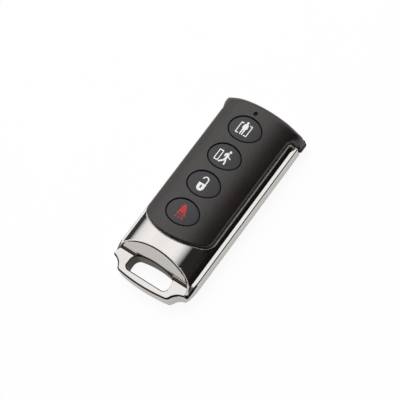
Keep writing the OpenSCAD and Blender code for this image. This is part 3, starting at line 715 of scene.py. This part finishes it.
def framePoints():
    # fine points where the shape turns or the finish changes, broad ones elsewhere
    fine = gridOf(np.arange(*plated["fineX"]), np.arange(*plated["fineY"]))
    x, y = fine.T
    side = np.abs(x)
    toRim = rimDistance(x, y)
    roomLow, roomHigh = plated["crestLineRoom"]
    onCrestRows = (toRim > roomLow) & (toRim < roomHigh) & (side < plated["crestSide"])
    near = (np.abs(toRim) < plated["crestNear"]) & ~onCrestRows
    near |= besideStep(side, y, plated["stepNear"]) | alongFoot(side, y, plated["footNear"])
    low, high = plated["crestLine"]
    apart = plated["crestLineSide"]
    crest = crestRows((plated["facetEdge"], low - apart, low, low + apart, high - apart, high, high + apart))
    steps = gridOf(np.arange(*plated["stepX"]), (plated["stepTop"], plated["stepShadow"]))
    parts = [fine[near], crest[np.abs(crest[:, 0]) < plated["crestSide"]], steps, steps * (-1, 1)]

    broad = gridOf(np.arange(*plated["broadX"]), np.arange(*plated["broadY"]))
    x, y = broad.T
    side = np.abs(x)
    onFlank = (np.abs(side - plated["flankMiddle"]) < plated["flankClear"]) & (y > plated["footClear"][1])
    clear = (np.abs(rimDistance(x, y)) > plated["crestClear"]) & ~onFlank
    clear &= ~besideStep(side, y, plated["stepClear"]) & ~alongFoot(side, y, plated["footClear"])
    clear &= np.abs(side - plated["darkBandFrom"]) > plated["darkBandClear"]
    parts.append(broad[clear])

    flankTop, flankFoot = plated["flankTop"][0], plated["flankFoot"][0]
    kinks = np.concatenate([plated["darkBandFrom"] + np.array(plated["darkBandRows"]),
                            flankTop + np.arange(*plated["flankTopRows"]),
                            flankFoot + np.arange(*plated["flankFootRows"])])
    parts.append(gridOf(bothSides(kinks), np.arange(*plated["flankY"])))
    rail = np.concatenate([flankFoot + np.arange(*plated["railFootRows"]), plated["railRows"]])
    railY = np.concatenate([np.arange(*plated["railY"]), np.arange(*plated["railEndY"])])
    parts.append(gridOf(bothSides(rail), railY))
    return np.concatenate(parts)


def wallRows(ring, high, low):
    # the straight wall between a rounded edge and a rounded foot
    return [levelRow(ring, high + share * (low[0][:, 2] - high)) for share in plated["wallShares"]] + low


def outerRows(outline, atOpening):
    ring, n = outline
    rounding = np.where(atOpening, plated["lipEdge"], outerEdgeAt(ring[:, 1]))
    for _ in range(plated["edgePasses"]):
        rounding = (np.roll(rounding, 1) + rounding + np.roll(rounding, -1)) / 3
    rows = []
    for turn in np.linspace(0, quarterTurn, plated["edgeRows"]):
        p = ring - n * (rounding * (1 - math.sin(turn)))[:, None]
        rows.append(np.column_stack([p, frameHeight(*p.T) - rounding * (1 - math.cos(turn))]))
    level = np.where(atOpening, plated["openFoot"], loopFoot(*ring.T))
    low = footRows(outline, plated["footEdge"])
    for row in low:
        row[:, 2] += level
    return rows + wallRows(ring, rows[-1][:, 2], low)


def slotRows(slot):
    rows = roundedRows(slot, frameHeight, plated["slotEdge"], plated["edgeRows"])
    return rows + wallRows(slot[0], rows[-1][:, 2], footRows(slot, plated["footEdge"]))


def buildPlatedFrame():
    piece = newPiece()
    ring, n = outline = traceLoop(openFramePlan, (fob["halfWidth"], 0), plated["spacing"])
    atOpening = np.abs(openPlan(*ring.T)) < 0.05  # a hair's room for the traced points
    slot = asHole(traceLoop(slotPlan, (plated["slotHalf"], plated["slotStart"]), plated["slotSpacing"]))
    tops, feet = [], []
    for loop, rows, shades in ((outline, outerRows(outline, atOpening), rimShades),
                               (slot, slotRows(slot), slotShades)):
        top, foot = addStrip(piece, rows, shades(loop, len(rows) - 1),
                             firstNormals=rowNormals(frameHeight, rows[0]), lastNormals=(0, 0, -1))
        tops.append(top)
        feet.append(foot)
    lip = np.concatenate([ring[atOpening] - n[atOpening] * d for d in plated["lipRows"]])
    inner = framePoints()
    inner = np.concatenate([lip, inner[openPlan(*inner.T) > plated["lipClear"]]])
    keep = framePlan(*inner.T) < -outerEdgeAt(inner[:, 1]) - plated["edgeClear"]
    keep &= slotPlan(*inner.T) > plated["slotEdge"] + plated["edgeClear"]
    addPatch(piece, tops, inner[keep], frameHeight, frameFinishAt)
    seam = gridOf(np.arange(*plated["seamX"]), plated["loopFootFrom"] - np.array(plated["seamDrops"]))
    addPatch(piece, feet, seam, frameUnderside, down=True)
    print("plated frame:", len(piece["points"]), "points")
    finishes = [platedChrome, flankBlackAndPaintedShade, lipPaintedHighlight, slotShade, stepPaintedReflection, facetSatinAndShade]
    finishPiece("platedFrame", piece, finishes, "case", ["chrome_frame"])


buildPlatedFrame()


# keys: ovals that follow the crown, a little below it
def keyHeight(x, y):
    return crownHeight(x, 0 * y, keys["recess"])


def buildKey(name, y0):
    piece = newPiece()
    a, b = keys["window"][0] - keys["gap"], keys["window"][1] - keys["gap"]
    ring, n = ovalLoop((0, 0), a, b, keys["around"])
    edge = roundedRows((ring, n), keyHeight, keys["edge"])
    rows = []
    for share in np.linspace(*keys["topShares"])[:-1]:
        p = edge[0][:, :2] * share
        rows.append(np.column_stack([p, keyHeight(*p.T)]))
    rows += edge
    rows.append(levelRow(ring, 0.5 * (edge[-1][:, 2] + keys["foot"])))
    rows.append(levelRow(ring, keys["foot"]))
    first, _ = addStrip(piece, rows, firstNormals=rowNormals(keyHeight, rows[0]))
    top = float(keyHeight(np.zeros(1), np.zeros(1))[0])
    middle = int(addPoints(piece, [(0, 0, top)], [(0, 0, 1)])[0])
    addFaces(piece, [(middle, int(p), int(q)) for p, q in zip(first, np.roll(first, -1))], 0)
    # below the cover, a flange and the stem that meets the switch
    flange, stem = (ovalLoop((0, 0), *keys[part], keys["around"])[0] for part in ("flange", "stem"))
    levels = ((ring, "foot"), (flange, "foot"), (flange, "flangeFoot"), (stem, "flangeFoot"), (stem, "stemFoot"))
    for pair in zip(levels, levels[1:]):
        addStrip(piece, [levelRow(loop, keys[level]) for loop, level in pair])
    end = addPoints(piece, levelRow(stem, keys["stemFoot"]), np.tile((0, 0, -1), (len(stem), 1)))
    addFaces(piece, [tuple(int(i) for i in end[::-1])], 0)
    shiftAlong(piece, y0)
    finishPiece(name + "Key", piece, [keyRubber], name + "_key", ["key_" + name])


for keyName, keyPlace in zip(keys["names"], keys["places"]):
    buildKey(keyName, keyPlace)
print("keys:", len(keys["names"]))


# symbols printed on the keys, drawn upright about each key's middle
ink = {"above": 0.015, "below": 0.03, "grid": (-3.2, 3.2, 0.35), "gridShift": (0.011, 0.007), "jointPoints": 14,
       "bracket": 0.36, "door": 0.36, "rearArm": 0.48, "foreArm": 0.42, "foreLeg": 0.56, "rearLeg": 0.6,
       "shackle": 0.44, "mark": 0.38, "bellShift": 0.2, "bellLean": 0.15}


def arc(middle, r, start, stop, count):
    t = np.radians(np.linspace(start, stop, count))
    return np.stack([middle[0] + r * np.cos(t), middle[1] + r * np.sin(t)], 1)


def dot(middle, r, count=28):
    return ovalLoop(middle, r, r, count)[0]


def stroke(points, width, closed=False):
    # a line of even width, one quad and one round joint per stretch
    p = np.array(points, float)
    ends = list(zip(p, np.roll(p, -1, axis=0))) if closed else list(zip(p[:-1], p[1:]))
    shapes = [dot(q, width / 2, ink["jointPoints"]) for q in p]
    for a, b in ends:
        side = np.array([a[1] - b[1], b[0] - a[0]])
        side = side / np.hypot(*side) * width / 2
        shapes.append([a - side, b - side, b + side, a + side])
    return shapes


def staySymbol():
    left = stroke([(-1.55, 1.78), (-2.32, 1.78), (-2.32, -2.1), (-1.45, -2.1)], ink["bracket"])
    right = stroke([(1.15, 1.78), (1.95, 1.78), (1.95, -2.1), (1.05, -2.1)], ink["bracket"])
    body = [[(-0.5, 1.85), (0.2, 1.85), (0.62, 1.55), (0.85, 0.55), (0.8, 0.1), (0.5, -0.05), (0.42, -2.3),
             (0.02, -2.3), (-0.02, -0.5), (-0.28, -0.5), (-0.32, -2.3), (-0.72, -2.3), (-0.8, -0.05),
             (-1.1, 0.1), (-1.15, 0.55), (-0.92, 1.55)]]
    return left + right + body + [dot((-0.15, 2.28), 0.44)], []


def awaySymbol():
    door = stroke([(-2.72, 1.6), (-1.25, 1.6), (-1.25, -2.1), (-2.72, -2.1)], ink["door"], True)
    torso = [[(0.1, 1.5), (0.75, 1.75), (1.2, 1.45), (1.3, 0.4), (1.32, -0.5), (0.55, -0.55), (0.5, 0.4)]]
    arms = stroke([(0.5, 1.35), (0.0, 0.95), (0.05, 0.3)], ink["rearArm"])
    arms += stroke([(1.0, 1.3), (1.5, 0.4), (2.3, 0.05)], ink["foreArm"])
    legs = stroke([(1.05, -0.5), (1.45, -1.4), (1.5, -2.35)], ink["foreLeg"])
    legs += stroke([(0.85, -0.5), (0.4, -1.35), (-0.6, -2.15)], ink["rearLeg"])
    return door + torso + arms + legs + [dot((1.2, 2.2), 0.46)], []


def unlockSymbol():
    bowl = arc((-0.2, -1.3), 1.4, 180, 360, 30)
    body = [np.concatenate([[(-1.6, 0.08), (-1.6, -1.2)], bowl, [(1.2, 0.08)]])]
    shackle = stroke(arc((-0.1, 1.5), 1.0, 168, 0, 26), ink["shackle"])
    shackle += stroke([(0.9, 1.5), (0.9, 0.0)], ink["shackle"])
    hole = [dot((-0.2, -0.85), 0.33, 20), [(-0.37, -0.9), (-0.03, -0.9), (0.12, -1.75), (-0.52, -1.75)]]
    return body + shackle, hole


def panicSymbol():
    bell = np.array([(-0.42, 2.55), (-0.3, 2.75), (-0.1, 2.75), (0.02, 2.55), (0.5, 2.15), (0.75, 1.5),
                     (0.95, 0.2), (1.45, -0.75), (1.3, -1.15), (-1.7, -1.15), (-1.85, -0.75), (-1.35, 0.2),
                     (-1.15, 1.5), (-0.9, 2.15)])
    mouth = np.array([(-1.42, -0.55), (-0.7, -0.22), (-0.35, -0.5), (-0.05, -0.5), (0.3, -0.22),
                      (1.02, -0.55), (0.7, -0.93), (-1.1, -0.93)])
    for shape in (bell, mouth):
        shape[:, 0] += ink["bellShift"] - ink["bellLean"] * shape[:, 1]
    marks = stroke([(-1.0, -1.65), (-1.35, -2.35)], ink["mark"])
    marks += stroke([(0.05, -1.75), (0.0, -2.5)], ink["mark"])
    marks += stroke([(1.05, -1.65), (1.35, -2.35)], ink["mark"])
    return [bell] + marks, [mouth]


def printSymbol(name, drawing, y0, finish):
    shapes, holes = ([np.array(s, float) for s in part] for part in drawing)
    line = np.arange(*ink["grid"])
    flat = np.concatenate(shapes + holes + [gridOf(line, line) + ink["gridShift"]])
    spots, tris, _ = triangulate(flat, closedEdges(shapes + holes), 1e-6)
    tris = tris[insideOnly(spots[tris].mean(axis=1), shapes, holes)]
    piece = newPiece()
    z = keyHeight(*spots.T)
    n = rowNormals(keyHeight, spots)
    used = np.unique(tris)
    high = np.full(len(spots), -1)
    high[used] = addPoints(piece, np.column_stack([spots[used], z[used] + ink["above"]]), n[used])
    addFaces(piece, [tuple(int(high[i]) for i in t) for t in tris], 0)
    # a thin edge down into the key all round
    sides = [side for t in tris.tolist() for side in zip(t, t[1:] + t[:1])]
    known = set(sides)
    rim = [(a, b) for a, b in sides if (b, a) not in known]
    rimPoints = np.unique(np.array(rim))
    low = np.full(len(spots), -1)
    lowPoints = np.column_stack([spots[rimPoints], z[rimPoints] - ink["below"]])
    low[rimPoints] = addPoints(piece, lowPoints, n[rimPoints])
    addFaces(piece, [(int(high[b]), int(high[a]), int(low[a]), int(low[b])) for a, b in rim], 0)
    shiftAlong(piece, y0)
    finishPiece(name + "Symbol", piece, [finish], name + "_key")


drawings = (staySymbol(), awaySymbol(), unlockSymbol(), panicSymbol())
for keyName, keyPlace, drawing in zip(keys["names"], keys["places"], drawings):
    printSymbol(keyName, drawing, keyPlace, keyInkRed if keyName == "panic" else keyInkWhite)
print("symbols:", len(drawings))


# the rest keeps its drawn shape and gets its finish
innerFinishes = {"bottom_cover": backShell, "light_pipe": smokedPipe, "keypad_mat": greyMat,
                 "circuit_board": greenBoard, "status_led": lightBody, "radio_chip": chipResin,
                 "crystal_can": crystalMetal, "chip_parts": partCeramic, "antenna_loop": loopCopper,
                 "coin_cell": cellSteel, "battery_strap": springBrass, "battery_contact": springBrass,
                 "case_screws": screwSteel}
for keyName in keys["names"]:
    innerFinishes["switch_" + keyName] = switchBlack
    innerFinishes["plunger_" + keyName] = plungerTan
for nodeName, finish in innerFinishes.items():
    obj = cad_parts[nodeName]
    obj.data.materials.clear()
    obj.data.materials.append(finish)
print("inner pieces:", len(innerFinishes))


# studio: pale floor, a wide white bank overhead and to the left, darkness ahead and to the right
studio = {"floorSize": 3.0, "floorCells": 6, "floorDrop": 0.0002, "floorDark": 0.35, "floorLight": 0.37,
          "paperScale": 40, "paperDetail": 3.0, "paperSpan": (0.3, 0.7), "paperRough": 0.9,
          "cameraGlow": 0.8, "mirrorGlow": 0.39, "glow": 1.16,
          "bank": ((-0.75, 0.93), (-0.43, 0.87), (-0.2, 0.91), (0.0, 0.92), (0.12, 0.82), (0.24, 0.45),
                   (0.34, 0.0)),
          "front": ((-0.40, 0.0), (-0.05, 1.0)),
          "horizon": ((0.05, 0.0), (0.175, 0.58), (0.264, 0.82), (0.348, 0.89), (0.5, 0.97), (0.65, 1.0)),
          "darkLevel": 0.021, "lampAt": (-0.45, 0.3, 0.85), "lampSize": 0.7, "lampPower": 7.5}


def mathOf(tree, operation, first, second):
    node = tree.nodes.new("ShaderNodeMath")
    node.operation = operation
    tree.links.new(first, node.inputs[0])
    tree.links.new(second, node.inputs[1])
    return node.outputs[0]


def buildFloor():
    half, cells = studio["floorSize"] / 2, studio["floorCells"]
    across = cells + 1
    line = np.linspace(-half, half, across)
    points = [(x, y, -studio["floorDrop"]) for y in line for x in line]
    corners = [r * across + c for r in range(cells) for c in range(cells)]
    faces = [(i, i + 1, i + across + 1, i + across) for i in corners]
    mesh = bpy.data.meshes.new("studioFloor")
    mesh.from_pydata(points, [], faces)
    floor = bpy.data.objects.new("studioFloor", mesh)
    scene.collection.objects.link(floor)
    finish, tree, bsdf = newFinish("floorPaper")
    paper = noiseOf(tree, studio["paperScale"], studio["paperDetail"])
    dark, light = [studio["floorDark"]] * 3, [studio["floorLight"]] * 3
    tree.links.new(toneOf(tree, paper, *studio["paperSpan"], dark, light), bsdf.inputs["Base Color"])
    bsdf.inputs["Roughness"].default_value = studio["paperRough"]
    bsdf.inputs["Specular IOR Level"].default_value = 0.0
    glow = tree.nodes.new("ShaderNodeEmission")
    glow.inputs["Strength"].default_value = studio["glow"]
    rays = tree.nodes.new("ShaderNodeLightPath")
    seen = rangeOf(tree, rays.outputs["Is Camera Ray"], 0, 1, 0, studio["cameraGlow"])
    for ray in ("Is Glossy Ray", "Is Transmission Ray"):
        mirrored = rangeOf(tree, rays.outputs[ray], 0, 1, 0, studio["mirrorGlow"])
        seen = mathOf(tree, "MAXIMUM", seen, mirrored)
    mix = tree.nodes.new("ShaderNodeMixShader")
    tree.links.new(seen, mix.inputs["Fac"])
    tree.links.new(bsdf.outputs["BSDF"], mix.inputs[1])
    tree.links.new(glow.outputs["Emission"], mix.inputs[2])
    tree.links.new(mix.outputs["Shader"], tree.nodes["Material Output"].inputs["Surface"])
    mesh.materials.append(finish)


def levelAlong(tree, value, stops):
    # brightness along one direction of the sky, from -1 to 1
    ramp = tree.nodes.new("ShaderNodeValToRGB")
    marks = ramp.color_ramp.elements
    while len(marks) < len(stops):
        marks.new(0.5)
    for mark, (place, level) in zip(marks, stops):
        mark.position = 0.5 + 0.5 * place
        mark.color = (level, level, level, 1)
    tree.links.new(rangeOf(tree, value, -1, 1, 0, 1), ramp.inputs["Fac"])
    return ramp.outputs["Color"]


def buildWorld():
    world = bpy.data.worlds.new("studioWorld")
    scene.world = world
    world.use_nodes = True
    tree = world.node_tree
    tree.nodes.clear()
    coord = tree.nodes.new("ShaderNodeTexCoord")
    split = tree.nodes.new("ShaderNodeSeparateXYZ")
    tree.links.new(coord.outputs["Generated"], split.inputs["Vector"])
    level = levelAlong(tree, split.outputs["X"], studio["bank"])
    for axis, part in (("Y", "front"), ("Z", "horizon")):
        level = mathOf(tree, "MULTIPLY", level, levelAlong(tree, split.outputs[axis], studio[part]))
    level = rangeOf(tree, level, 0.0, 1.0, studio["darkLevel"], 1.0)
    rays = tree.nodes.new("ShaderNodeLightPath")
    pick = tree.nodes.new("ShaderNodeMix")  # the camera itself sees plain white
    pick.data_type = "FLOAT"
    tree.links.new(rays.outputs["Is Camera Ray"], pick.inputs["Factor"])
    tree.links.new(level, pick.inputs[2])
    pick.inputs[3].default_value = 1.0
    back = tree.nodes.new("ShaderNodeBackground")
    back.inputs["Color"].default_value = (1, 1, 1, 1)
    tree.links.new(pick.outputs[0], back.inputs["Strength"])
    out = tree.nodes.new("ShaderNodeOutputWorld")
    tree.links.new(back.outputs["Background"], out.inputs["Surface"])


def buildLamp():
    # soft fill from the bank's side; mirrors see the bank itself instead
    lampData = bpy.data.lights.new("bankLamp", "AREA")
    lampData.size = studio["lampSize"]
    lampData.energy = studio["lampPower"]
    lamp = bpy.data.objects.new("bankLamp", lampData)
    lamp.location = studio["lampAt"]
    lamp.rotation_euler = (-Vector(studio["lampAt"])).to_track_quat("-Z", "Y").to_euler()
    lamp.visible_glossy = False
    lamp.visible_camera = False
    scene.collection.objects.link(lamp)


buildFloor()
buildWorld()
buildLamp()

# camera, leaning the way the picture leans
view = {"place": (0.21277, -0.11541, 0.43546), "turn": (26.485, 13.342, 36.969), "lens": 136.42,
        "sensor": 36.0, "clip": 0.01}
cameraData = bpy.data.cameras.new("pictureCamera")
cameraData.lens = view["lens"]
cameraData.sensor_width = view["sensor"]
cameraData.clip_start = view["clip"]
camera = bpy.data.objects.new("pictureCamera", cameraData)
camera.location = view["place"]
camera.rotation_euler = Euler([math.radians(a) for a in view["turn"]], "XYZ")
scene.collection.objects.link(camera)
scene.camera = camera
scene.view_settings.view_transform = "Standard"
print("studio ready")
